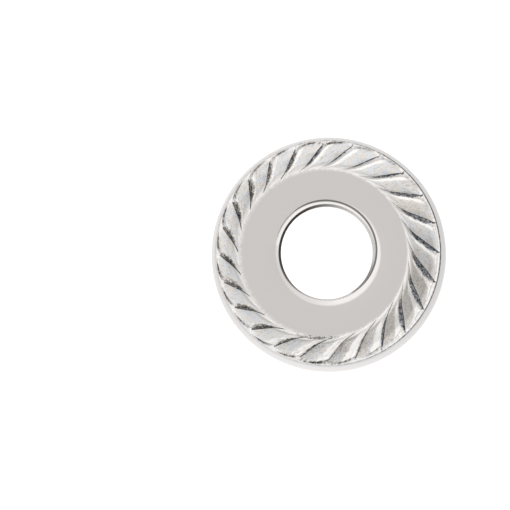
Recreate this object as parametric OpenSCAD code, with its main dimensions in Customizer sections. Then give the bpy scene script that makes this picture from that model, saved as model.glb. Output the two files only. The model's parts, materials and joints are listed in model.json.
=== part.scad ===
// Serrated flange nut: a hexagon and a conical flange in one forged piece, with ratchet teeth on its bearing face.
// The nut stands on the end face of its hexagon, with the bearing face up.
// The origin is the middle of that end face, and two of the six corners lie on the Y axis.

/* [Bore] */
// Diameter of the bore at the crests of its thread
bore_d = 6.8; // [6:0.05:7.2]
// Diameter of the countersink in the bearing face
face_countersink_d = 7.65; // [7.3:0.05:8.6]
// Diameter of the countersink in the end face of the hexagon
end_countersink_d = 8.4; // [7.3:0.05:9]
// Included angle of both countersinks
countersink_angle = 120; // [90:5:120]

/* [Hexagon] */
// Width across the flats
across_flats = 12.8; // [12:0.1:13.2]
// Radius of the rounding along the six upright edges
corner_r = 0.3; // [0.15:0.05:0.8]
// Diameter of the flat part of the end face
end_face_d = 11.2; // [10:0.1:12]
// Slope of the chamfer on the six corners, from the end face
chamfer_angle = 37; // [20:1:45]

/* [Flange] */
// Overall height, from the end face to the tips of the teeth
height = 7.9; // [7.2:0.05:8.6]
// Diameter of the flange
flange_d = 17; // [16.2:0.1:18]
// Slope of the flange's back, from the bearing face
flange_slope = 24.5; // [15:0.5:30]
// Radius of the rim's rounding on the back
rim_back_r = 1.1; // [0.6:0.05:1.2]
// Radius of the rim's rounding towards the bearing face
rim_face_r = 1.25; // [0.6:0.05:1.3]
// Height of the straight band between the rim's two roundings
rim_band_h = 0.2; // [0.05:0.05:0.8]

/* [Teeth] */
// Number of teeth
tooth_count = 24; // [16:2:30]
// Height of a tooth, from the bottom of its groove to its tip
tooth_h = 0.25; // [0.1:0.01:0.35]
// Diameter of the plain land inside the teeth
land_d = 12; // [11:0.1:12.6]
// Drop from the teeth's grooves to the plain land
land_drop = 0.03; // [0.01:0.01:0.1]
// Radial length over which the inner ends of the teeth rise
tooth_run_in = 0.6; // [0.2:0.05:0.9]
// Angle between a tooth's crest line and the radius, where the rim's rounding starts
tooth_sweep = 40; // [20:1:50]
// Radius of the curve that a crest line follows
tooth_bend_r = 14; // [10:0.5:30]
// Slope of a tooth's steep side, from the bearing face
tooth_side_angle = 45; // [40:5:80]
// Turn of the first tooth from the hexagon's flat on +X
tooth_turn = 5.6; // [1:0.1:14]
// How far, in degrees, the forging die's teeth wander from an even pitch
tooth_sway = 2; // [0:0.1:2.5]
// How far the middle of the teeth lies off the bore's axis, along X
teeth_x = -0.22; // [-0.3:0.01:0.3]
// How far the middle of the teeth lies off the bore's axis, along Y
teeth_y = -0.06; // [-0.3:0.01:0.3]

/* [Hidden] */
$fn = 96;
// What a cutter reaches past the surface that it cuts, and past the tips of the teeth
over = 1;
tip_over = 0.05;
// What a rounding stands out past the faces beside it, so that it crosses them cleanly
skim = 0.0005;
flange_r = flange_d / 2;
land_r = land_d / 2;
land_z = height - tooth_h - land_drop;
// Sharp corners of the hexagon, before their rounding
corner_tip_r = across_flats / 2 / cos(30);
// Rounded rim: the middles of its two roundings, and where the tips of the teeth end
rim_face_z = height - rim_face_r;
rim_back_z = rim_face_z - rim_band_h;
crest_end_r = flange_r - rim_face_r;
// Turn at which the teeth lag furthest behind an even pitch
sway_turn = 195;
// Grooves between the teeth: each starts at a crest line and rises to the next one
tooth_pitch = 2 * PI * crest_end_r / tooth_count * cos(tooth_sweep);
side_run = tooth_h / tan(tooth_side_angle);
groove_reach = 1.3 * (flange_r - land_r);

// Bore with a countersink at each end, as one cutter
module bore() {
    face_depth = (face_countersink_d - bore_d) / 2 / tan(countersink_angle / 2);
    end_depth = (end_countersink_d - bore_d) / 2 / tan(countersink_angle / 2);
    translate([0, 0, -over]) cylinder(h = height + 2 * over, d = bore_d);
    rotate_extrude() polygon([
        [0, land_z - face_depth],
        [bore_d / 2, land_z - face_depth],
        [face_countersink_d / 2, land_z],
        [face_countersink_d / 2, height + over],
        [0, height + over]
    ]);
    rotate_extrude() polygon([
        [0, -over],
        [end_countersink_d / 2, -over],
        [end_countersink_d / 2, 0],
        [bore_d / 2, end_depth],
        [0, end_depth]
    ]);
}

// Hexagon with rounded upright edges, chamfered towards its end face
module hexagon() {
    chamfer_h = (flange_r - end_face_d / 2) * tan(chamfer_angle);
    corner_mid_r = corner_tip_r - corner_r / cos(30);
    intersection() {
        difference() {
            rotate(30) cylinder(h = rim_face_z, r = corner_tip_r, $fn = 6);
            for (side = [0:5]) rotate(side * 60 + 90) corner_cut(corner_mid_r);
        }
        rotate_extrude() polygon([
            [0, 0],
            [end_face_d / 2, 0],
            [flange_r, chamfer_h],
            [flange_r, rim_face_z],
            [0, rim_face_z]
        ]);
    }
}

// What the rounding takes off one upright edge of the hexagon, at the edge on +X
module corner_cut(mid_r) {
    reach = corner_tip_r - mid_r;
    half_w = corner_r * sin(30) + over;
    translate([0, 0, -over]) linear_extrude(rim_face_z + 2 * over) difference() {
        translate([mid_r + corner_r * cos(30), -half_w]) square([reach, 2 * half_w]);
        translate([mid_r + skim, 0]) circle(r = corner_r);
    }
}

// Flange with its conical back and rounded rim, up to the tips of the teeth
module flange() {
    back_end = [
        flange_r - rim_back_r + (rim_back_r - skim) * sin(flange_slope),
        rim_back_z - (rim_back_r - skim) * cos(flange_slope)
    ];
    inner_z = back_end[1] - back_end[0] * tan(flange_slope);
    rotate_extrude() {
        polygon([
            [0, inner_z],
            back_end,
            [flange_r - rim_back_r, rim_back_z],
            [flange_r, rim_back_z],
            [flange_r, rim_face_z],
            [crest_end_r, height],
            [0, height]
        ]);
        translate([flange_r - rim_back_r, rim_back_z]) circle(r = rim_back_r);
        translate([crest_end_r, rim_face_z]) circle(r = rim_face_r);
    }
}

// Recess of the plain land, round the middle of the teeth, with a slope up to them
module land() {
    slope = (height - land_z) / tooth_run_in;
    translate([teeth_x, teeth_y, 0]) rotate_extrude() polygon([
        [0, land_z],
        [land_r, land_z],
        [land_r + tooth_run_in + over / slope, height + over],
        [0, height + over]
    ]);
}

// Groove beside one tooth: the steep side on the crest line, then a ramp up to the next crest line
module groove() {
    ramp = tooth_h / (tooth_pitch - side_run);
    half_angle = groove_reach / tooth_bend_r * 180 / PI;
    translate([
        crest_end_r + tooth_bend_r * sin(tooth_sweep),
        tooth_bend_r * cos(tooth_sweep),
        height
    ])
        rotate(-90 - tooth_sweep - half_angle)
        rotate_extrude(angle = 2 * half_angle) polygon([
            [tooth_bend_r - tip_over / tan(tooth_side_angle), tip_over],
            [tooth_bend_r + side_run, -tooth_h],
            [tooth_bend_r + tooth_pitch + tip_over / ramp, tip_over]
        ]);
}

// Every second groove, from the given one on, so that no two of them meet
module grooves(first) {
    for (tooth = [first:2:tooth_count - 1]) {
        turn = tooth_turn + tooth * 360 / tooth_count;
        translate([teeth_x, teeth_y, 0]) rotate(turn - tooth_sway * cos(turn - sway_turn)) groove();
    }
}

module flange_nut() {
    color("silver") difference() {
        difference() {
            union() {
                hexagon();
                flange();
            }
            grooves(0);
        }
        grooves(1);
        land();
        bore();
    }
}

flange_nut();
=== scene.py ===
"""Serrated flange nut with its forged teeth, its thread and its satin steel, on a plain white table."""
import json
import math

import bpy
import numpy as np
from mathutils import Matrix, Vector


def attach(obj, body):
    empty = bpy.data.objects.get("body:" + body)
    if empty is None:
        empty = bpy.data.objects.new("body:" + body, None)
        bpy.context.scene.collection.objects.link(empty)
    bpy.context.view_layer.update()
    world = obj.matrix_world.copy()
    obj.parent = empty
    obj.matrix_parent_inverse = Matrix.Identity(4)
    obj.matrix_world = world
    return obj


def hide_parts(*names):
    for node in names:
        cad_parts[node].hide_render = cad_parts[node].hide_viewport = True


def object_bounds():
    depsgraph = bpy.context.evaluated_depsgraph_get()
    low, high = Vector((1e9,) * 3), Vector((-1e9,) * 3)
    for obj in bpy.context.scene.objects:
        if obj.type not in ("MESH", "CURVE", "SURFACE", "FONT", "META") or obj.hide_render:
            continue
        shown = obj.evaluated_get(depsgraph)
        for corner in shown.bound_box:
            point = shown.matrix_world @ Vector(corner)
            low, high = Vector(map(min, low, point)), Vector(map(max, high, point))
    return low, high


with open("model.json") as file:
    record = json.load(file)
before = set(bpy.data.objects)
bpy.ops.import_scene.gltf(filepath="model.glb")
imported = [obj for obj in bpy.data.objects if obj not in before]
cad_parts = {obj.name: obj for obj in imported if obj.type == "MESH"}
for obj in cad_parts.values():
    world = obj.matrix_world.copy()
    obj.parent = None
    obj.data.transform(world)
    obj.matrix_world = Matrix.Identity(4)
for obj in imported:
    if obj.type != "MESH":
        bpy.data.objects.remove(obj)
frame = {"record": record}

bl_info = {
    "name": "Serrated flange nut",
    "version": (1, 0, 0),
    "blender": (4, 5, 0),
    "location": "3D View > Sidebar > Flange nut",
    "description": "Models a serrated flange nut, its finish and its studio table",
    "category": "Object",
}

MM = 0.001
CAD_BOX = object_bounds()
MOUNTS = {mount["name"]: mount for mount in frame["record"]["mounts"]}
BEARING_FACE = MOUNTS["bearing_face"]
THREAD = MOUNTS["thread"]
# Columns of faces round the nut, and round its thread
COLUMNS = 720
THREAD_COLUMNS = 144
# Width of the shoulder's rows before the forging
SPUN_SHOULDER = 0.3 * MM
# Vertices whose rows are looked up at once
BATCH = 20000
# Vertices closer together than this are merged
MERGE = 0.0001 * MM
# The hexagon's sides, half of the turn that one takes, and the turn of a corner from the X axis
SIDES = 6
HALF_SIDE = math.pi / SIDES
FIRST_CORNER = math.radians(90)
# How much the columns of faces draw together at the corners
CORNER_DRAW = 0.6
# Edges sharper than this stay sharp
SMOOTH_ANGLE = math.radians(28)
# Slope of the thread's flanks
FLANK = math.tan(math.radians(30))


def size(name, description, millimetres):
    """A length that the user can set"""
    return bpy.props.FloatProperty(
        name=name, description=description, default=millimetres * MM, unit="LENGTH", precision=5
    )


def number(name, description, default):
    """A plain number that the user can set"""
    return bpy.props.FloatProperty(name=name, description=description, default=default)


def slope(name, description, degrees):
    """An angle that the user can set"""
    return bpy.props.FloatProperty(
        name=name, description=description, default=math.radians(degrees), subtype="ANGLE"
    )


def colour(name, description, default):
    """A colour that the user can set"""
    return bpy.props.FloatVectorProperty(
        name=name, description=description, default=default, subtype="COLOR", min=0.0, max=1.0
    )


class NutBody(bpy.types.PropertyGroup):
    """Sizes of the hexagon and the flange"""

    height: size("Height", "From the end face to the tips of the teeth", CAD_BOX[1].z / MM)
    flange_r: size("Flange radius", "Radius of the flange's rim", CAD_BOX[1].x / MM)
    rim_x: size("Rim offset X", "How far the rim's middle lies off the bore's along X", 0.076)
    rim_y: size("Rim offset Y", "How far the rim's middle lies off the bore's along Y", -0.156)
    rim_back_r: size("Rim back rounding", "Radius of the rim's rounding on its back", 1.1)
    rim_face_r: size("Rim face rounding", "Radius of the rim's rounding towards the bearing face", 1.25)
    rim_band_h: size("Rim band", "Height of the straight band between the rim's roundings", 0.2)
    back_slope: slope("Back slope", "Slope of the flange's back, from the bearing face", 24.5)
    flat_r: size("Flats", "Half of the width across the hexagon's flats", 6.4)
    corner_r: size("Corner rounding", "Radius of the hexagon's upright edges", 0.3)
    fillet_r: size("Fillet", "Radius between the hexagon and the flange's back", 0.36)
    chamfer_slope: slope("Chamfer slope", "Slope of the chamfer, from the end face", 37)
    chamfer_edge_r: size("Chamfer edge", "Radius between the chamfer and the flats", 0.32)
    end_face_r: size("End face", "Radius at which the chamfer starts", 5.56)
    end_edge_r: size("End edge", "Radius between the end face and the chamfer", 0.5)
    end_sink_r: size("End countersink", "Radius of the countersink in the end face", 4.2)


class NutTeeth(bpy.types.PropertyGroup):
    """Sizes of the teeth on the bearing face"""

    count: bpy.props.IntProperty(name="Teeth", description="Number of teeth", default=24)
    middle_x: size("Pattern offset X", "How far the teeth's middle lies off the bore's along X", -0.225)
    middle_y: size("Pattern offset Y", "How far the teeth's middle lies off the bore's along Y", -0.058)
    inner_r: size("Inner radius", "Mean radius at which the teeth start to rise", 6.12)
    inner_lean: size("Inner lean", "How much further in than on average they start on one side", 0.13)
    lean_turn: slope("Lean turn", "Clockwise turn at which they start furthest in", 15)
    gap: size("Gap", "From the teeth's outer ends to the fine groove round them", 0.02)
    shoulder: size("Shoulder", "How much wider that gap is where the shoulder is widest", 0.42)
    notch: size("Notch", "How much wider that gap is at the steep sides, away from the shoulder", 0.27)
    ragged: size("Raggedness", "How much that gap wanders round the ring", 0.03)
    shoulder_turn: slope("Shoulder turn", "Clockwise turn of the widest shoulder", 20)
    shoulder_reach: slope("Shoulder reach", "Turn over which the shoulder narrows", 45)
    first_turn: slope("First tooth", "Clockwise turn of the first steep side at the middle radius", 9.2)
    middle_r: size("Middle radius", "Radius at which the crests' turns are given", 7.02)
    run_in: size("Run-in", "Radial length over which the teeth rise", 0.5)
    tooth_h: size("Tooth height", "From the bottom of a valley to the tip of a tooth", 0.25)
    side_share: number("Steep side", "Share of the pitch that the steep side takes", 0.19)
    ramp_crown: number("Ramp crown", "How much steeper than its mean slope the long flank starts", 0.5)
    crest_share: number("Crest rounding", "Share of the pitch that the tip's rounding takes", 0.03)
    tip_round: number("Tip rounding", "Rounding of tips and valleys, as a share of their height", 0.06)
    sway: slope("Sway", "How far the teeth wander from an even pitch", 2.0)
    sway_turn: slope("Sway turn", "Clockwise turn at which they are furthest ahead", 165)
    sweep: number("Sweep", "Tangent of the angle between a crest and the radius", 0.9)
    inner_sweep: number("Inner sweep", "What the tangent gains at the teeth's inner ends", 2.7)
    inner_bend: size("Inner bend", "Radial length over which that gain fades", 0.25)
    crease_r: size("Crease radius", "Radius of the fine groove outside the teeth", 8.127)
    crease_w: size("Crease width", "Half of the width of that groove", 0.055)
    crease_h: size("Crease depth", "Depth of that groove", 0.06)
    crease_fade: number("Crease fade", "Share of that depth that is missing on the left", 0.6)


class NutThread(bpy.types.PropertyGroup):
    """Sizes of the thread and its countersink"""

    pitch: size("Pitch", "Height of one turn of the thread", 1.25)
    crest_r: size("Crest radius", "Radius of the thread's crests", THREAD["dims"]["r_mm"])
    root_r: size("Root radius", "Radius of the thread's roots", 3.9)
    root_w: size("Root width", "Half of the width of the flat root", 0.13)
    pilot_r: size("Pilot radius", "Radius of the plain hole before tapping", 3.2)
    land_z: size("Land", "Height of the plain land inside the teeth", BEARING_FACE["pos_m"][2] / MM)
    sink_r: size("Countersink", "Radius of the countersink in the bearing face", 3.825)
    sink_slope: slope("Countersink slope", "Slope of both countersinks, from the face", 30)
    sink_edge_r: size("Countersink edge", "Radius between that countersink and the land", 0.12)
    ease: size("Thread edges", "Size of the easing of the crests' and roots' edges", 0.04)
    breakout: slope("Breakout", "Clockwise turn at which the root leaves the bearing face", 232)


class NutFinish(bpy.types.PropertyGroup):
    """Colours of the steel, with its painted highlights and painted shade"""

    satin: colour("Satin steel", "Colour of the satin surfaces", (0.69, 0.664, 0.649))
    warm: colour("Warm steel", "Warm tint of the worked surfaces", (0.71, 0.67, 0.63))
    cool: colour("Cool steel", "Cool tint of the worked surfaces", (0.66, 0.68, 0.71))
    edge: colour("Rim steel", "Colour of the rim", (0.61, 0.595, 0.59))
    # Painted shade: the hexagon's sides are a darker copy of the satin steel
    side: colour("Hexagon steel", "Colour of the hexagon", (0.43, 0.418, 0.41))
    # Painted shade: the flange's back under the rim is darker still
    back: colour("Back steel", "Colour of the flange's back", (0.34, 0.33, 0.32))
    # Painted shadow in the thread, along its first edge, on its crests and at the countersink's lip
    oil: colour("Oil", "Colour of the oil left in the thread", (0.06, 0.05, 0.045))
    # Colour of every painted highlight: bands, shoulder, teeth's ends, rim, hexagon and countersink
    bright: colour("Bright steel", "Colour of the brightest steel", (0.92, 0.895, 0.87))
    # Dirt and painted shade on the steep sides at the right
    dusk: colour("Cool stain", "Colour of the dirt on the right", (0.26, 0.265, 0.275))
    # Real specks, and dirt and painted shade on the steep sides at the left
    grime: colour("Warm stain", "Colour of the specks, and of the dirt on the left", (0.262, 0.237, 0.207))
    # Stain and painted shade where the steep sides are darkest
    stain: colour("Dark stain", "Colour of the steep sides where they are darkest", (0.035, 0.04, 0.05))


# Points of the section, as radius and height


def straight(start, end, count):
    """Points of a straight stretch, without its first one"""
    shares = np.linspace(0, 1, count + 1)[1:, None]
    return np.array(start) + shares * (np.array(end) - np.array(start))


def rounding(middle, radius, start, end, count):
    """Points of an arc from one angle to another, without its first one"""
    turns = np.linspace(start, end, count + 1)[1:]
    return np.array(middle) + radius * np.stack([np.cos(turns), np.sin(turns)], 1)


def soft_min(a, b, k):
    """The lower of two heights, with the edge between them rounded off by k"""
    return (a + b - np.sqrt((a - b) ** 2 + k * k)) / 2


class Section:
    """The section, row by row from the bore's lower end round the outside and back into the bore"""

    def __init__(self):
        self.points = []
        self.hexagon = []
        self.rim = []
        self.zone = []
        self.share = []

    def add(self, points, hexagon=(0, 0), hexagon_end=None, rim=0, rim_end=None, zone="plain"):
        """Adds a stretch, on which the hexagon and the rim pull evenly from the first value to the last"""
        count = len(points)
        shares = np.arange(1, count + 1) / count
        hexagon_end = hexagon if hexagon_end is None else hexagon_end
        rim_end = rim if rim_end is None else rim_end
        for point, share in zip(points, shares):
            self.points.append(point)
            self.hexagon.append(np.array(hexagon) * (1 - share) + np.array(hexagon_end) * share)
            self.rim.append(rim * (1 - share) + rim_end * share)
            self.zone.append(zone)
            self.share.append(share)


def corner_reach(body):
    """Radius of the hexagon at its rounded corners"""
    return (body.flat_r - body.corner_r) / math.cos(HALF_SIDE) + body.corner_r


def hexagon_radius(body, turn):
    """Radius of the hexagon with its rounded corners, at an angle from the X axis"""
    off = np.abs((turn - FIRST_CORNER + HALF_SIDE) % (2 * HALF_SIDE) - HALF_SIDE)
    middle = (body.flat_r - body.corner_r) / math.cos(HALF_SIDE)
    flat = body.flat_r / np.cos(HALF_SIDE - off)
    inside = np.maximum(body.corner_r**2 - (middle * np.sin(off)) ** 2, 0)
    rounded = middle * np.cos(off) + np.sqrt(inside)
    tangent_x = middle + body.corner_r * math.cos(HALF_SIDE)
    tangent = math.atan2(body.corner_r * math.sin(HALF_SIDE), tangent_x)
    return np.where(off < tangent, rounded, flat)


def rim_height(body, radius):
    """Height of the bearing side without its teeth, which falls off towards the rim, at a radius"""
    middle = body.flange_r - body.rim_face_r
    out = np.maximum(radius - middle, 0)
    return body.height - body.rim_face_r + np.sqrt(np.maximum(body.rim_face_r**2 - out**2, 0))


def nut_section(body, teeth, thread):
    """All rows of the section"""
    section = Section()
    sink = math.tan(thread.sink_slope)
    chamfer = math.tan(body.chamfer_slope)
    back = math.tan(body.back_slope)
    corner = corner_reach(body)
    # End face with its countersink
    sink_start = (thread.pilot_r, (body.end_sink_r - thread.pilot_r) * sink)
    section.add([sink_start])
    edge = (body.end_sink_r, 0)
    section.add(straight(sink_start, edge, 4))
    half = body.chamfer_slope / 2
    reach = body.end_edge_r * math.tan(half)
    section.add(straight(edge, (body.end_face_r - reach, 0), 3))
    # Chamfer, from the end face's rounded edge to the flats
    middle = (body.end_face_r - reach, body.end_edge_r)
    points = rounding(middle, body.end_edge_r, math.radians(-90), math.radians(-90) + body.chamfer_slope, 4)
    section.add(points)
    start = points[-1]
    turn = math.pi / 2 - body.chamfer_slope
    reach = body.chamfer_edge_r * math.tan(turn / 2)
    top = (corner, (corner - body.end_face_r) * chamfer)
    end = (top[0] - reach * math.cos(body.chamfer_slope), top[1] - reach * math.sin(body.chamfer_slope))
    section.add(straight(start, end, 6), hexagon=(0, 0), hexagon_end=(1, chamfer))
    middle = (corner - body.chamfer_edge_r, top[1] + reach)
    section.add(rounding(middle, body.chamfer_edge_r, -turn, 0, 5), hexagon=(1, chamfer))
    # Flats, with the fillet to the flange's back
    rim_back_z = body.height - body.rim_face_r - body.rim_band_h
    rim_back_x = body.flange_r - body.rim_back_r
    back_end = (
        rim_back_x + body.rim_back_r * math.sin(body.back_slope),
        rim_back_z - body.rim_back_r * math.cos(body.back_slope),
    )
    meet_z = back_end[1] - (back_end[0] - corner) * back
    turn = math.pi / 2 - body.back_slope
    reach = body.fillet_r * math.tan(turn / 2)
    flat = straight((corner, top[1] + reach), (corner, meet_z - reach), 6)
    section.add(flat, hexagon=(1, chamfer), hexagon_end=(1, back))
    middle = (corner + body.fillet_r, meet_z - reach)
    points = rounding(middle, body.fillet_r, math.pi, math.pi / 2 + body.back_slope, 7)
    section.add(points, hexagon=(1, back))
    section.add(straight(points[-1], back_end, 5), hexagon=(1, back), hexagon_end=(0, 0), rim=0, rim_end=1)
    # Rim
    section.add(rounding((rim_back_x, rim_back_z), body.rim_back_r, -turn, 0, 12), rim=1)
    rim_face = (body.flange_r - body.rim_face_r, body.height - body.rim_face_r)
    section.add(straight((body.flange_r, rim_back_z), (body.flange_r, rim_face[1]), 1), rim=1)
    lip_r = teeth.crease_r + teeth.crease_w
    lip = math.acos((lip_r - rim_face[0]) / body.rim_face_r)
    section.add(rounding(rim_face, body.rim_face_r, 0, lip, 10), rim=1, rim_end=0, zone="lip")
    # Fine groove outside the teeth, then their shoulder, the teeth and the land
    inner_lip_r = teeth.crease_r - teeth.crease_w
    section.add([(teeth.crease_r, rim_height(body, teeth.crease_r) - teeth.crease_h)], zone="crease")
    section.add([(inner_lip_r, rim_height(body, inner_lip_r))], zone="inner_lip")
    edge_r = inner_lip_r - SPUN_SHOULDER
    edge_reach = thread.sink_edge_r * math.tan(thread.sink_slope / 2)
    section.add(straight((inner_lip_r, body.height), (edge_r, body.height), 5), zone="shoulder")
    section.add(straight((edge_r, body.height), (teeth.inner_r, body.height), 32), zone="teeth")
    land_end = (thread.sink_r + edge_reach, thread.land_z)
    section.add(straight((teeth.inner_r, thread.land_z), land_end, 3), zone="land")
    # Countersink and the plain hole for the thread
    middle = (thread.sink_r + edge_reach, thread.land_z - thread.sink_edge_r)
    points = rounding(middle, thread.sink_edge_r, math.pi / 2, math.pi / 2 + thread.sink_slope, 3)
    section.add(points, zone="sink")
    sink_end = (thread.pilot_r, thread.land_z - (thread.sink_r - thread.pilot_r) * sink)
    section.add(straight(section.points[-1], sink_end, 3), zone="sink")
    return section


def crest_turn(teeth, radius):
    """Clockwise turn of a crest line at a radius, from its turn at the middle radius"""
    def turn(r):
        fade = np.exp(-(r - teeth.inner_r) / teeth.inner_bend)
        return teeth.sweep * np.log(r) - teeth.inner_sweep * teeth.inner_bend / teeth.inner_r * fade

    return turn(radius) - turn(teeth.middle_r)


def tooth_columns(teeth):
    """Where a tooth's columns of faces lie: close together at the tip, the steep side and the valley"""
    tip = -teeth.side_share / 2
    valley = teeth.side_share / 2
    edge = teeth.crest_share
    columns = [0, 3, 9, 14, 27, 30]
    places = [tip, tip + edge, valley - edge, valley + 2 * edge, tip + 1 - edge, tip + 1]
    return np.array(columns) / columns[-1], np.array(places)


def tooth_height(teeth, phase):
    """Height over the valley; the phase counts the teeth clockwise, from the middle of a steep side"""
    across = (phase + teeth.side_share / 2) % 1
    fall = 1 - across / teeth.side_share
    along = (across - teeth.side_share) / (1 - teeth.side_share)
    rise = along * (1 + teeth.ramp_crown) - teeth.ramp_crown * along**2
    next_fall = 1 - (across - 1) / teeth.side_share
    last_rise = 1 + across / (1 - teeth.side_share) * (1 - teeth.ramp_crown)
    rounded = teeth.tip_round
    valley = -soft_min(-fall, -rise, rounded)
    after_tip = soft_min(fall, last_rise, rounded)
    before_tip = soft_min(rise, next_fall, rounded)
    height = np.where(across < teeth.side_share / 2, after_tip, np.where(across > 0.5, before_tip, valley))
    return height * teeth.tooth_h


def near(turn, middle, reach):
    """How near a turn is to another, from 1 where they meet to 0 far off"""
    off = (turn - middle + math.pi) % math.tau - math.pi
    return np.exp(-((off / reach) ** 2))


def ramp(value, start, end):
    """How far a value is from the start to the end, from 0 to 1"""
    return np.clip((value - start) / (end - start), 0, 1)


def nearest_rows(spun, rows):
    """Number of the section's row that each vertex of the spun section lies on"""
    radius = np.hypot(spun[:, 0], spun[:, 1])
    nearest = np.empty(len(spun), int)
    for first in range(0, len(spun), BATCH):
        part = slice(first, first + BATCH)
        gap = (radius[part, None] - rows[:, 0]) ** 2 + (spun[part, 2, None] - rows[:, 1]) ** 2
        nearest[part] = gap.argmin(1)
    return nearest


# Changes of the finish and of its painted highlights and painted shade round the ring of teeth: clockwise
# turn and reach in degrees, and how much
CHANGES = {
    # Width of the stain and the painted shade on the steep sides, round the ring
    "stain_shade_top": (290, 38, -0.65),
    "stain_shade_low": (84, 32, -0.72),
    "stain_shade_left": (175, 46, 0.15),
    # Thin stain and painted shade at their inner ends, and painted shade along the outer ends of the teeth
    "tail_top": (285, 40, -0.7),
    "outline_left": (238, 23, -0.5),
    # Painted shade along the teeth's outer ends and inner ends
    "outer_shade_low": (95, 17, 0.4),
    "outer_shade_top": (270, 11, 0.3),
    "inner_shade_low": (97, 14, 0.48),
    # Painted highlight bands beside the steep sides: where they start, how wide and how bright they are
    "band_low": (84, 32, 0.6),
    "band_right": (60, 50, 0.8),
    "band_left": (165, 52, -0.6),
    # Painted highlight at the teeth's inner ends
    "shine_top": (252, 26, 0.45),
    "shine_right": (352, 14, -0.5),
    # Painted shade on the long flanks round the ring, also where the bands lie on the left
    "flank_shade_right": (15, 57, 1.3),
    "flank_shade_low": (84, 32, 2.5),
    "flank_shade_left": (165, 52, 1.1),
    "flank_shade_top_left": (210, 29, 0.7),
}
# Reach, in degrees, of the ring's right side, whose edges are sharper than the left's and carry more
# painted shade
RIGHT_REACH = 75
# Middle, across a tooth, of the line of painted shade along its outer end
LINE_MIDDLE = 0.33


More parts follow.
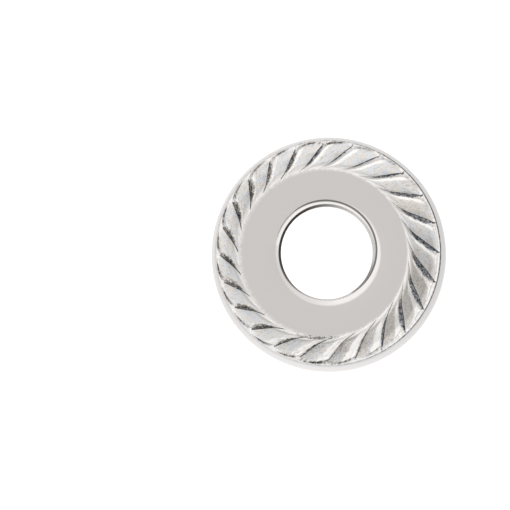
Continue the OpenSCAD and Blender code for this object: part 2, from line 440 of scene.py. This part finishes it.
class Forging:
    """Moves the vertices of the spun section to where the dies leave them, and works out their finish with
    its painted highlights and painted shade
    """

    def __init__(self, spun, body, teeth, thread):
        self.body = body
        self.teeth = teeth
        self.thread = thread
        section = nut_section(body, teeth, thread)
        points = np.array(section.points)
        row = nearest_rows(spun, points)
        self.radius = points[row, 0]
        self.height = points[row, 1]
        self.pull = np.array(section.hexagon)[row]
        self.rim = np.array(section.rim)[row]
        self.zone = np.array(section.zone)[row]
        self.share = np.array(section.share)[row]
        self.in_teeth = self.zone == "teeth"
        self.in_shoulder = self.zone == "shoulder"
        self.in_crease = self.zone == "crease"
        self.turn = np.arctan2(spun[:, 1], spun[:, 0])
        self.right = near(-self.turn, 0, math.radians(RIGHT_REACH))
        self.lay_columns()
        self.end_columns()

    def lay_columns(self):
        """Finds each column's tooth, its place across that tooth and its clockwise turn"""
        teeth = self.teeth
        self.lip_r = teeth.crease_r - teeth.crease_w
        angle = math.tau / teeth.count
        tooth = (-self.turn - teeth.first_turn - crest_turn(teeth, self.lip_r)) / angle
        self.phase = np.floor(tooth) + np.interp(tooth % 1, *tooth_columns(teeth))
        turn = teeth.first_turn + self.phase * angle
        self.toothed_turn = turn + teeth.sway * np.cos(turn - teeth.sway_turn)
        along = self.phase + teeth.side_share / 2
        self.which = np.floor(along).astype(int) % teeth.count
        self.part = along % 1

    def end_columns(self):
        """Finds the teeth's ends, on two uneven circles, and the vertices between them"""
        teeth = self.teeth
        inner_turn = self.toothed_turn + crest_turn(teeth, teeth.inner_r)
        self.inner_r = teeth.inner_r - teeth.inner_lean * np.cos(inner_turn - teeth.lean_turn)
        outer_turn = self.toothed_turn + crest_turn(teeth, self.lip_r)
        wide = near(outer_turn, teeth.shoulder_turn, teeth.shoulder_reach)
        # The shoulder is widest beside the painted highlight band; elsewhere the ends bulge between the
        # steep sides
        shoulder = teeth.shoulder * wide * np.interp(self.part, [0, 0.22, 0.32, 1], [0.1, 0.9, 1, 0.1])
        bulge = np.sin(math.pi * ((self.part - 0.08) % 1))
        notch = teeth.notch * (1 - wide) * (1 - bulge) ** 1.5
        ragged = teeth.ragged * (0.5 + 0.5 * np.sin(7 * outer_turn) * np.cos(3 * outer_turn + 1))
        off_axis = teeth.middle_y * np.sin(outer_turn) - teeth.middle_x * np.cos(outer_turn)
        self.outer_r = self.lip_r - (teeth.gap + shoulder + notch + ragged) + off_axis
        self.outer_turn = outer_turn
        # Each vertex in the teeth, at its radius from the teeth's middle
        self.r = self.outer_r + (self.inner_r - self.outer_r) * self.share
        self.from_inner = self.r - self.inner_r
        self.outwards = np.clip(self.from_inner / (self.outer_r - self.inner_r), 0, 1)
        self.risen = 1 - (1 - np.clip(self.from_inner / teeth.run_in, 0, 1)) ** 2
        self.inner_x, self.inner_y = self.place(self.inner_r)
        self.land_turn = np.arctan2(self.inner_y, self.inner_x)

    def place(self, r):
        """Point of a column of faces at a radius from the teeth's middle"""
        clockwise = self.toothed_turn + crest_turn(self.teeth, r)
        return self.teeth.middle_x + r * np.cos(clockwise), self.teeth.middle_y - r * np.sin(clockwise)

    def shape(self):
        """Places of the vertices"""
        body, teeth, land_z, share = self.body, self.teeth, self.thread.land_z, self.share
        edge_x, edge_y = self.place(self.outer_r)
        edge_turn = np.arctan2(edge_y, edge_x)
        # Hexagon, with its columns closer together at the corners, and off-centre rim
        twist = (edge_turn - self.turn + math.pi) % math.tau - math.pi
        twist = twist * np.where(self.zone == "lip", share, self.in_crease | (self.zone == "inner_lip"))
        closer = CORNER_DRAW / SIDES * np.sin(SIDES * (self.turn - FIRST_CORNER))
        corner_turn = self.turn - self.pull[:, 0] * closer + twist
        shift = hexagon_radius(body, corner_turn) - corner_reach(body)
        radius = self.radius + self.pull[:, 0] * shift
        height = self.height + self.pull[:, 1] * shift
        x = radius * np.cos(corner_turn) + self.rim * body.rim_x
        y = radius * np.sin(corner_turn) + self.rim * body.rim_y
        height = height + self.in_crease * teeth.crease_h * teeth.crease_fade * (1 - self.right)
        # Teeth, whose inner ends rise from the land
        tooth_x, tooth_y = self.place(self.r)
        tooth_z = tooth_height(teeth, self.phase) - teeth.tooth_h
        top = rim_height(body, np.hypot(tooth_x, tooth_y)) + tooth_z
        x = np.where(self.in_teeth, tooth_x, x)
        y = np.where(self.in_teeth, tooth_y, y)
        height = np.where(self.in_teeth, land_z + (top - land_z) * self.risen, height)
        # Shoulder between the teeth's outer ends and the fine groove
        inner_edge = np.minimum(np.hypot(edge_x, edge_y) + 0.02 * MM, self.lip_r - 0.002 * MM)
        from_axis = self.lip_r + (inner_edge - self.lip_r) * share
        x = np.where(self.in_shoulder, from_axis * np.cos(edge_turn), x)
        y = np.where(self.in_shoulder, from_axis * np.sin(edge_turn), y)
        height = np.where(self.in_shoulder, rim_height(body, from_axis) + tooth_z * share**3, height)
        # Land and countersink, whose columns carry on from the teeth's inner ends
        in_land = self.zone == "land"
        inside = in_land | (self.zone == "sink")
        settle = np.where(in_land, share, 1)
        land_x = radius * np.cos(self.land_turn)
        land_y = radius * np.sin(self.land_turn)
        x = np.where(inside, self.inner_x + (land_x - self.inner_x) * settle, x)
        y = np.where(inside, self.inner_y + (land_y - self.inner_y) * settle, y)
        return np.stack([x, y, height], 1)

    def change(self, name, turn=None):
        """How much a change acts on each vertex, by the turn of its column or by another turn"""
        middle, reach, amount = CHANGES[name]
        turn = self.toothed_turn if turn is None else turn
        return amount * near(turn, math.radians(middle), math.radians(reach))

    def stain(self, widths, strengths):
        """Stain and painted shade on the steep sides, uneven from tooth to tooth and thinner where the
        painted shade is lighter round the ring
        """
        right, across, from_inner = self.right, self.part / self.teeth.side_share, self.from_inner
        width = widths[self.which] * (1 + self.change("stain_shade_top"))
        width = width * (1 + self.change("stain_shade_low")) * (1 + self.change("stain_shade_left"))
        inner_part = ramp(self.outwards, 0.1, 0.32)
        outer_part = ramp(self.outwards, 1, 0.4 + 0.25 * right) ** 0.8
        width = width * (0.15 + 1.5 * np.sin(math.pi / 2 * inner_part * outer_part))
        wide = ramp(across / width, 1.1, 0.45 + 0.2 * right) * (0.68 + 0.02 * right)
        wide = wide * ramp(from_inner, 0, 0.45 * MM)
        # Thin dark line of stain and painted shade at the crest, wider at its inner end
        paler = self.change("tail_top") * ramp(self.outwards, 0.375, 0.125)
        thin = ramp(from_inner, 0, 0.06 * MM) * (1 + paler) * np.where(across < 0.16, 1, 0.8)
        thin_w = 0.16 + (0.5 - 0.3 * right) * np.exp(-from_inner / (0.25 * MM))
        stain = np.where(across < thin_w, thin, wide) * strengths[self.which] * self.in_teeth
        # Painted shade in the fine groove, full on the right, and along the teeth's outer ends, broken
        # between the teeth on the left
        lined = self.lined()
        stain = np.where(self.in_crease, right + (1 - right) * lined * 0.2, stain)
        outline = 0.7 * (1 + self.change("outline_left", self.outer_turn)) * (1 - right) * lined
        stain = np.maximum(stain, self.in_teeth * (self.share < 0.04) * outline)
        # Painted shade along the outer ends at the bottom and at the top, and along the inner ends at the
        # bottom
        dirt_and_shade = self.change("outer_shade_low", self.outer_turn) + self.change("outer_shade_top", self.outer_turn)
        outer_end = ramp(self.share, 0.144, 0.024) * self.in_teeth + self.in_shoulder
        stain = np.maximum(stain, outer_end * dirt_and_shade)
        dirt_and_shade = self.change("inner_shade_low", -self.land_turn)
        stain = np.maximum(stain, self.in_teeth * (self.share > 0.93) * dirt_and_shade)
        # Painted shade over the shoulder beside the steep sides, on the right
        return np.where(self.in_shoulder & (across < 0.5), np.maximum(stain, 0.8 * right), stain)

    def lined(self):
        """Where the line of painted shade along the teeth's outer ends runs, from 0 to 1"""
        return ramp(np.abs(self.part - LINE_MIDDLE), LINE_MIDDLE, 0.75 * LINE_MIDDLE)

    def band(self):
        """Painted highlight band beside each steep side"""
        across = self.part / self.teeth.side_share
        start = ramp(across + self.change("band_low"), 0.9, 1.3)
        return start * ramp(across - self.change("band_right"), 2.1, 1.75)

    def bright(self):
        """Painted highlights beside each steep side, over the shoulder and at both ends of the teeth"""
        left = 1 - self.right
        bright = np.maximum(self.band() * (1 + self.change("band_left")), 1 - self.risen) * self.in_teeth
        bright = bright + self.in_shoulder * (1 - 0.4 * left)
        outer_end = ramp(self.share, 0.14, 0) * left * (1 - self.lined()) * 0.8
        inner_end = ramp(self.outwards, 0.48, 0.18) * self.change("shine_top")
        bright = np.maximum(bright, np.maximum(outer_end, inner_end) * self.in_teeth)
        return bright * (1 + self.change("shine_right") * (self.outwards < 0.3))

    def tone(self, tones):
        """How dull the long flanks are from tooth to tooth, with painted shade round the ring"""
        tone = tones[self.which] + self.change("flank_shade_right") + self.change("flank_shade_top_left")
        tone = tone + self.change("flank_shade_low") * ramp(self.part, 0.35, 0.95) ** 1.5
        return (tone + self.change("flank_shade_left") * self.band()) * self.in_teeth

    def finish(self):
        """What the shader reads at each vertex"""
        chance = np.random.default_rng(4)
        widths = 0.85 + 0.3 * chance.random(self.teeth.count)
        strengths = 0.85 + 0.25 * chance.random(self.teeth.count)
        tones = chance.random(self.teeth.count)
        return {
            "toothed": self.in_teeth * self.risen + self.in_shoulder,
            "stain": self.stain(widths, strengths),
            "bright": self.bright(),
            "tone": self.tone(tones),
            # Place across each tooth, for the streaks along it
            "across": self.part + 3.7 * self.which,
        }


# Modelling


def only(item):
    """Makes an object the only selected one"""
    bpy.ops.object.select_all(action="DESELECT")
    item.select_set(True)
    bpy.context.view_layer.objects.active = item


def drawn_line(name, points, closed):
    """A line of edges in the XZ plane, drawn point by point"""
    bpy.ops.object.select_all(action="DESELECT")
    bpy.ops.mesh.primitive_circle_add(vertices=3, radius=MM)
    line = bpy.context.active_object
    line.name = name
    line.data.name = name
    bpy.ops.object.mode_set(mode="EDIT")
    bpy.ops.mesh.select_mode(type="VERT")
    bpy.ops.mesh.merge(type="CENTER")
    bpy.ops.transform.translate(value=(points[0][0], 0, points[0][1]))
    for start, end in zip(points, points[1:]):
        step = (end[0] - start[0], 0, end[1] - start[1])
        bpy.ops.mesh.extrude_region_move(TRANSFORM_OT_translate={"value": step})
    bpy.ops.object.mode_set(mode="OBJECT")
    if closed:
        for vertex in (line.data.vertices[0], line.data.vertices[-1]):
            vertex.select = True
        bpy.ops.object.mode_set(mode="EDIT")
        bpy.ops.mesh.edge_face_add()
        bpy.ops.object.mode_set(mode="OBJECT")
    return line


def swept(line, columns, rise=0.0, turns=1):
    """Turns a line round the Z axis, with a rise for each turn"""
    only(line)
    screw = line.modifiers.new("sweep", "SCREW")
    screw.steps = columns
    screw.render_steps = columns
    screw.screw_offset = rise
    screw.iterations = turns
    screw.use_merge_vertices = rise == 0.0
    screw.merge_threshold = MERGE
    bpy.ops.object.modifier_apply(modifier=screw.name)


def merged(item):
    """Closes a swept mesh and points its faces outwards"""
    only(item)
    bpy.ops.object.mode_set(mode="EDIT")
    bpy.ops.mesh.select_all(action="SELECT")
    bpy.ops.mesh.remove_doubles(threshold=MERGE)
    bpy.ops.mesh.normals_make_consistent(inside=False)
    bpy.ops.object.mode_set(mode="OBJECT")


def spun_nut(body, teeth, thread):
    """The nut's body: its section spun round the axis, then forged"""
    nut = drawn_line("nut_body", nut_section(body, teeth, thread).points, closed=True)
    swept(nut, COLUMNS)
    merged(nut)
    spun = np.empty(len(nut.data.vertices) * 3, np.float32)
    nut.data.vertices.foreach_get("co", spun)
    forging = Forging(spun.reshape(-1, 3).astype(float), body, teeth, thread)
    nut.data.vertices.foreach_set("co", forging.shape().astype(np.float32).ravel())
    for name, values in forging.finish().items():
        nut.data.attributes.new(name, "FLOAT", "POINT").data.foreach_set("value", values.astype(np.float32))
    nut.data.update()
    return nut


def tap_of_thread(body, thread):
    """The solid that the thread takes out of the nut: one turn of its outline, screwed past both ends"""
    crest_w = thread.root_w + (thread.root_r - thread.crest_r) * FLANK
    upper_half = [
        (thread.root_r, thread.root_w * 0.4),
        (thread.root_r - thread.ease, thread.root_w + thread.ease / 2),
        (thread.crest_r + thread.ease / 2, crest_w - thread.ease / 4),
        (thread.crest_r, crest_w + thread.ease),
        (thread.crest_r, thread.pitch / 2),
    ]
    outline = [(radius, -height) for radius, height in reversed(upper_half)] + upper_half
    turns = math.ceil((body.height + 4 * thread.pitch) / thread.pitch)
    # Height of the root on the X axis, from where it falls clockwise to the land
    start = thread.land_z + thread.pitch * thread.breakout / math.tau
    start -= math.ceil((start + 2 * thread.pitch) / thread.pitch) * thread.pitch
    tap = drawn_line("tap", [(radius, start + height) for radius, height in outline], closed=False)
    swept(tap, THREAD_COLUMNS, thread.pitch, turns)
    merged(tap)
    bpy.ops.object.mode_set(mode="EDIT")
    for height, side in ((-thread.pitch / 2, -1), (body.height + thread.pitch / 2, 1)):
        bpy.ops.mesh.select_all(action="SELECT")
        bpy.ops.mesh.bisect(
            plane_co=(0, 0, height),
            plane_no=(0, 0, side),
            use_fill=True,
            clear_outer=True,
            threshold=MERGE / 10,
        )
    bpy.ops.mesh.select_all(action="SELECT")
    bpy.ops.mesh.normals_make_consistent(inside=False)
    bpy.ops.object.mode_set(mode="OBJECT")
    return tap


def cut(item, tool):
    """Takes one solid out of another"""
    only(item)
    modifier = item.modifiers.new("cut", "BOOLEAN")
    modifier.operation = "DIFFERENCE"
    modifier.solver = "MANIFOLD"
    modifier.object = tool
    bpy.ops.object.modifier_apply(modifier=modifier.name)
    bpy.data.objects.remove(tool)


class NUT_OT_forge(bpy.types.Operator):
    """Models the nut and gives it its finish"""

    bl_idname = "nut.forge"
    bl_label = "Forge the nut"

    def execute(self, context):
        scene = context.scene
        nut = spun_nut(scene.nut_body, scene.nut_teeth, scene.nut_thread)
        cut(nut, tap_of_thread(scene.nut_body, scene.nut_thread))
        only(nut)
        bpy.ops.object.shade_smooth_by_angle(angle=SMOOTH_ANGLE)
        nut.data.materials.clear()
        nut.data.materials.append(steel(scene.nut_finish, scene.nut_body, scene.nut_thread))
        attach(nut, "root")
        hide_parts("flange_nut")
        return {"FINISHED"}


# Materials


class Value:
    """A socket that can be used in sums"""

    def __init__(self, nodes, socket):
        self.nodes = nodes
        self.socket = socket

    def math(self, operation, *others):
        """A Math node on this value"""
        return self.nodes.node("ShaderNodeMath", {"operation": operation}, self, *others)

    def __add__(self, other):
        return self.math("ADD", other)

    def __sub__(self, other):
        return self.math("SUBTRACT", other)

    def __rsub__(self, other):
        return self.math("MULTIPLY_ADD", -1.0, other)

    def __mul__(self, other):
        return self.math("MULTIPLY", other)

    def __truediv__(self, other):
        return self.math("DIVIDE", other)

    def __pow__(self, other):
        return self.math("POWER", other)

    __radd__ = __add__
    __rmul__ = __mul__


class Nodes:
    """Adds nodes to a material or a world"""

    def __init__(self, owner):
        owner.use_nodes = True
        self.tree = owner.node_tree
        self.tree.nodes.clear()

    def node(self, kind, settings=None, *inputs, output=0, **named):
        """Adds a node with its settings and the values or links of its sockets, and gives one output"""
        made = self.tree.nodes.new(kind)
        for key, value in (settings or {}).items():
            setattr(made, key, value)
        sockets = [s for s in made.inputs if s.enabled]
        for key, value in [*enumerate(inputs), *named.items()]:
            socket = sockets[key] if isinstance(key, int) else made.inputs[key.replace("_", " ")]
            if isinstance(value, Value):
                self.tree.links.new(value.socket, socket)
            else:
                socket.default_value = (*value, 1.0) if socket.type == "RGBA" else value
        if not made.outputs:
            return None
        enabled = [s for s in made.outputs if s.enabled]
        return Value(self, made.outputs[output] if isinstance(output, str) else enabled[output])

    def axes(self, vector):
        """The X, Y and Z of a vector"""
        split = self.node("ShaderNodeSeparateXYZ", {}, vector).socket.node
        return [Value(self, part) for part in split.outputs]

    def mix(self, share, a, b):
        """A colour between two"""
        return self.node("ShaderNodeMix", {"data_type": "RGBA"}, share, a, b)

    def clamp(self, value, low, high):
        """How far a value is from low to high, as a smooth step"""
        smooth = {"interpolation_type": "SMOOTHSTEP"}
        return self.node("ShaderNodeMapRange", smooth, value, low, high, 0.0, 1.0)


# Where one finish of the steel, or one of its painted highlights and shades, goes over into the next, in
# millimetres: from none of it to all of it
STRETCHES = {
    # By the radius
    "rim": (7.55, 7.9),
    "rim_edge": (8.05, 8.25),
    "corner": (7.12, 7.34),
    "bore": (4.2, 4.0),
    # By the height
    "below_rim": (6.0, 5.5),
    "widest_from": (5.8, 6.1),
    "widest_to": (7.0, 6.7),
    # By the height over the land and over the chamfer's cone
    "below_land": (-0.01, -0.06),
    "chamfer": (0.25, 0.05),
    # By the height at which a cone with the back's slope meets the axis
    "back": (1.45, 1.8),
    # By the depth under the countersink, and by the distance from the thread's first edge
    "groove": (0.01, 0.04),
    "line_from": (-0.01, 0.02),
    "line_to": (0.2, 0.1),
    # By the position along X
    "left": (3, -3),
    "lower_right": (0, 4),
}
# Clockwise turns, in degrees, of the rim's painted highlight, the countersink's deepest painted shade and
# the thread's darkest painted shadow
RIM_LIGHT = 218
SHADED_SINK = 135
DARKEST_THREAD_SHADOW = 205


def steel(finish, body, thread):
    """Steel, satin on its plain faces and rougher, speckled and stained where the dies worked it, with
    painted highlights and painted shade
    """
    material = bpy.data.materials.new("steel")
    nodes = Nodes(material)
    place = nodes.node("ShaderNodeTexCoord", output="Object")
    x, y, z = nodes.axes(place)
    radius = (x * x + y * y) ** 0.5
    clockwise = y.math("ARCTAN2", x) * -1.0

    def painted(name):
        """A value that the forging gave to the vertices"""
        return nodes.node("ShaderNodeAttribute", {"attribute_name": name}, output="Fac")

    def noise(scale, detail, roughness=0.5, vector=None):
        """Noise on a vector, or on the nut with grains of 1 / scale millimetres"""
        inputs = {"Scale": scale if vector else scale / MM, "Detail": detail, "Roughness": roughness}
        return nodes.node("ShaderNodeTexNoise", {}, Vector=vector or place, **inputs)

    def into(value, name):
        """How far a length is into one of the stretches"""
        start, end = STRETCHES[name]
        return nodes.clamp(value, start * MM, end * MM)

    def towards(turn):
        """How near the place is to a clockwise turn, from 1 there to -1 opposite"""
        return (clockwise - math.radians(turn)).math("COSINE")

    toothed, stain, bright, tone = map(painted, ("toothed", "stain", "bright", "tone"))
    grain = noise(14, 2)
    mottle = noise(2.2, 4)
    speckle = noise(6.5, 4, 0.7)
    drawn = nodes.node("ShaderNodeCombineXYZ", {}, painted("across") * 1.4, radius * (0.45 / MM))
    streak = noise(7, 3, 0.6, drawn)
    rim = into(radius, "rim")
    # Worked faces: a little cooler or warmer, and duller or clearer, from place to place; the flanks'
    # painted shade makes them warmer at the lower right and darker round the ring
    warmth = mottle + nodes.clamp(tone, 1.0, 2.0) * into(x, "lower_right") * 0.16
    tint = nodes.mix(nodes.clamp(warmth, 0.35, 0.65), finish.cool, finish.warm)
    specks = nodes.clamp(speckle, 0.52, 0.72) * 0.3 + nodes.clamp(streak, 0.48, 0.7) * 0.25
    specks = specks + tone * 0.14 + (grain - 0.5) * 1.3
    tint = nodes.mix(nodes.clamp(specks, 0.0, 1.0), tint, finish.grime)
    clean = nodes.mix(toothed, finish.satin, tint)
    # Painted shade darkens the rim towards the left and the right, and a painted highlight brightens its
    # edge at the upper left
    sideways_shade = (x / (radius + 0.01 * MM)) ** 2.0
    edge = nodes.mix(sideways_shade * 0.38, finish.edge, finish.side)
    rim_highlight = into(radius, "rim_edge") * nodes.clamp(towards(RIM_LIGHT), 0.4, 0.9) * 0.12
    edge = nodes.mix(rim_highlight, edge, finish.bright)
    clean = nodes.mix(rim * (1.0 - toothed), clean, edge)
    # Painted highlights: bright bands, broken by the streaks
    smooth = 0.45 + 0.6 * nodes.clamp(streak, 0.6, 0.4) + nodes.clamp(bright, 0.9, 1.0) * 0.3
    clean = nodes.mix(nodes.clamp(bright * smooth, 0.0, 1.0), clean, finish.bright)
    # Hexagon in a darker steel as painted shade, with painted highlights on its chamfer and its corners,
    # painted shade on the flange's back and a painted highlight on the rim's widest part
    chamfer = math.tan(body.chamfer_slope)
    from_chamfer = z - radius * chamfer + body.end_face_r * chamfer
    highlight_and_mottle = into(radius, "corner") * 0.5 + into(from_chamfer, "chamfer") * 0.12
    highlight_and_mottle = highlight_and_mottle + (mottle - 0.5) * 0.12 + (grain - 0.5) * 0.05
    side = nodes.mix(nodes.clamp(highlight_and_mottle, -0.15, 1.1), finish.side, finish.bright)
    from_back = z - radius * math.tan(body.back_slope)
    side = nodes.mix(into(from_back, "back"), side, finish.back)
    clean = nodes.mix(into(z, "below_rim"), clean, side)
    widest = into(z, "widest_from") * into(z, "widest_to") * rim * 0.38
    clean = nodes.mix(widest, clean, finish.bright)
    # Painted highlight on the countersink, and on the part of the thread's first flank that shows in it,
    # with painted shade on one side
    steep = math.tan(thread.sink_slope)
    sink_z = radius * steep + (thread.land_z - thread.sink_r * steep)
    sunk = into(z - thread.land_z, "below_land") * into(radius, "bore")
    in_groove = into(sink_z - z, "groove")
    shine = 0.58 - 0.42 * nodes.clamp(towards(SHADED_SINK), 0.5, 1.0) + 0.42 * in_groove
    clean = nodes.mix(nodes.clamp(sunk * shine, 0.0, 1.0), clean, finish.bright)
    # Painted shadow along the thread's first edge, on its crests and at the countersink's lip
    lag = ((clockwise - thread.breakout) / math.tau).math("FRACT")
    first_edge = thread.root_w + thread.root_r * FLANK + thread.sink_r * steep
    from_edge = (first_edge - thread.pitch * lag) / (FLANK + steep) - radius
    line = into(from_edge, "line_from") * into(from_edge, "line_to") * 0.85
    deep_shadow = nodes.clamp(towards(DARKEST_THREAD_SHADOW), -0.35, 0.9)
    crest_r = thread.crest_r + 0.04 * MM + 0.13 * MM * deep_shadow
    crest = nodes.clamp(radius, crest_r + 0.03 * MM, crest_r) * (0.3 + 0.7 * deep_shadow)
    lip = nodes.clamp(radius, thread.sink_r - 0.07 * MM, thread.sink_r) * 0.45 * in_groove * sunk
    thread_shade = line.math("MAXIMUM", crest).math("MAXIMUM", lip) * sunk
    clean = nodes.mix(thread_shade, clean, finish.oil)
    # Dirt and painted shade on the steep sides, dull and speckled with a dark edge
    uneven = (speckle - 0.5) * 1.7 + (streak - 0.5) * 0.9
    uneven = uneven + (grain - 0.5) * 1.3 * nodes.clamp(stain, 0.25, 0.6)
    dirt_and_shade = stain + uneven * nodes.clamp(stain, 0.0, 0.3)
    dirt_and_shade_colour = nodes.mix(into(x, "left"), finish.dusk, finish.grime)
    dull = nodes.mix(nodes.clamp(dirt_and_shade, 0.1, 0.55), clean, dirt_and_shade_colour)
    base = nodes.mix(nodes.clamp(dirt_and_shade, 0.45, 0.9), dull, finish.stain)
    # Roughness and relief, stronger on the worked faces
    worked = toothed.math("MAXIMUM", rim)
    rough = 0.42 - 0.12 * worked + 0.10 * (grain - 0.5) + 0.25 * worked * (speckle - 0.5)
    relief = grain * 0.25 + (speckle + streak) * worked * 0.9
    bump = nodes.node("ShaderNodeBump", {}, Strength=0.6, Distance=0.006 * MM, Height=relief)
    shader = nodes.node(
        "ShaderNodeBsdfPrincipled", {}, Base_Color=base, Metallic=1.0, Roughness=rough, Normal=bump
    )
    nodes.node("ShaderNodeOutputMaterial", {}, Surface=shader)
    return material


# Stage


class NutStage(bpy.types.PropertyGroup):
    """Table, light and camera"""

    distance: size("Camera height", "Height of the camera over the rim", 318.7)
    table: size("Table", "Width of the table", 600)
    table_glow: number("Table glow", "Light that the white table gives", 1.15)
    tent: number("Tent", "Light of the white tent round the table", 1.12)
    opening: number("Opening", "Light left in the tent's opening for the camera", 0.645)
    opening_l: number("Opening length", "Half of the opening's length, as the sine of its angle", 0.6)
    opening_w: number("Opening width", "Half of the opening's width, as the sine of its angle", 0.3)
    opening_off: number("Opening offset", "How far the opening's middle lies off the camera", 0.18)
    opening_turn: slope("Opening turn", "Turn of the opening's length from the X axis", 16)
    opening_fade: number("Opening fade", "Share of its light that the opening lacks on the right", 0.32)
    far_gain: number("Far gain", "How much brighter the tent is high up on the far side", 0.22)
    left_gain: number("Left gain", "How much brighter the light is on the left, low down", 0.06)
    near_gain: number("Near gain", "How much brighter the light is on the near side, low down", 0.09)


# The photograph's frame in pixels, and where the rim lies in it
PHOTO_WIDTH = 510
RIM_MIDDLE_X = 328.9
RIM_MIDDLE_Y = 255.1
RIM_PIXELS = 234.7


def tent_light(stage):
    """A white tent that glows all round, with a dark opening for the camera"""
    world = bpy.data.worlds.new("tent")
    bpy.context.scene.world = world
    nodes = Nodes(world)
    way = nodes.node("ShaderNodeTexCoord", output="Generated")
    x, y, z = nodes.axes(way)
    turn = stage.opening_turn
    along = (x * math.cos(turn) + y * math.sin(turn) - stage.opening_off) / stage.opening_l
    across = (y * math.cos(turn) - x * math.sin(turn)) / stage.opening_w
    out = (along * along + across * across) ** 0.5
    below = nodes.clamp(z, 0.2, 0.0)
    wall = nodes.clamp(out, 0.75, 1.25).math("MAXIMUM", below)
    even = 1.0 + stage.far_gain * y * z - (1.0 - z) * (stage.left_gain * x + stage.near_gain * y)
    dim = stage.opening * (1.0 - stage.opening_fade * nodes.clamp(along, 0.0, 0.6))
    light = (dim + (1.0 - dim) * wall) * even * stage.tent
    back = nodes.node("ShaderNodeBackground", {}, Color=(1, 1, 1), Strength=light)
    nodes.node("ShaderNodeOutputWorld", {}, Surface=back)


class NUT_OT_stage(bpy.types.Operator):
    """Sets the table, the light and the camera"""

    bl_idname = "nut.stage"
    bl_label = "Set the stage"

    def execute(self, context):
        scene = context.scene
        stage = scene.nut_stage
        body = scene.nut_body
        bpy.ops.object.select_all(action="DESELECT")
        bpy.ops.mesh.primitive_plane_add(size=stage.table, location=(0, 0, CAD_BOX[0].z))
        table = context.active_object
        table.name = "table"
        material = bpy.data.materials.new("white_table")
        nodes = Nodes(material)
        # The white table is a little brighter on the near side and on the left
        x, y, _ = nodes.axes(nodes.node("ShaderNodeTexCoord", output="Object"))
        away = (x * x + y * y) ** 0.5 + MM
        glow = 1.0 - (stage.left_gain * x + stage.near_gain * y) / away
        shader = nodes.node(
            "ShaderNodeBsdfPrincipled",
            {},
            Base_Color=(0.1, 0.1, 0.1),
            Roughness=0.9,
            Emission_Color=glow,
            Emission_Strength=stage.table_glow,
        )
        nodes.node("ShaderNodeOutputMaterial", {}, Surface=shader)
        table.data.materials.append(material)
        tent_light(stage)
        scene.view_settings.view_transform = "Standard"
        rim_z = body.height - body.rim_face_r
        scale = 2 * body.flange_r / RIM_PIXELS
        bpy.ops.object.camera_add(
            location=(
                body.rim_x - (RIM_MIDDLE_X - PHOTO_WIDTH / 2) * scale,
                body.rim_y + (RIM_MIDDLE_Y - PHOTO_WIDTH / 2) * scale,
                rim_z + stage.distance,
            )
        )
        camera = context.active_object
        camera.data.lens = camera.data.sensor_width * stage.distance / (PHOTO_WIDTH * scale)
        camera.data.clip_start = stage.distance / 10
        camera.data.clip_end = stage.distance * 10
        scene.camera = camera
        return {"FINISHED"}


class NUT_PT_panel(bpy.types.Panel):
    """The nut's operators and sizes"""

    bl_idname = "NUT_PT_panel"
    bl_label = "Flange nut"
    bl_space_type = "VIEW_3D"
    bl_region_type = "UI"
    bl_category = "Flange nut"

    def draw(self, context):
        for operator in (NUT_OT_forge, NUT_OT_stage):
            self.layout.operator(operator.bl_idname)
        for group in GROUPS:
            settings = getattr(context.scene, group)
            self.layout.label(text=settings.__doc__)
            for key in settings.__annotations__:
                self.layout.prop(settings, key)


GROUPS = {
    "nut_body": NutBody,
    "nut_teeth": NutTeeth,
    "nut_thread": NutThread,
    "nut_finish": NutFinish,
    "nut_stage": NutStage,
}
CLASSES = (*GROUPS.values(), NUT_OT_forge, NUT_OT_stage, NUT_PT_panel)


def register():
    for item in CLASSES:
        bpy.utils.register_class(item)
    for name, group in GROUPS.items():
        setattr(bpy.types.Scene, name, bpy.props.PointerProperty(type=group))


def unregister():
    for name in GROUPS:
        delattr(bpy.types.Scene, name)
    for item in reversed(CLASSES):
        bpy.utils.unregister_class(item)


def main():
    register()
    bpy.ops.nut.forge()
    bpy.ops.nut.stage()


if __name__ == "__main__":
    main()
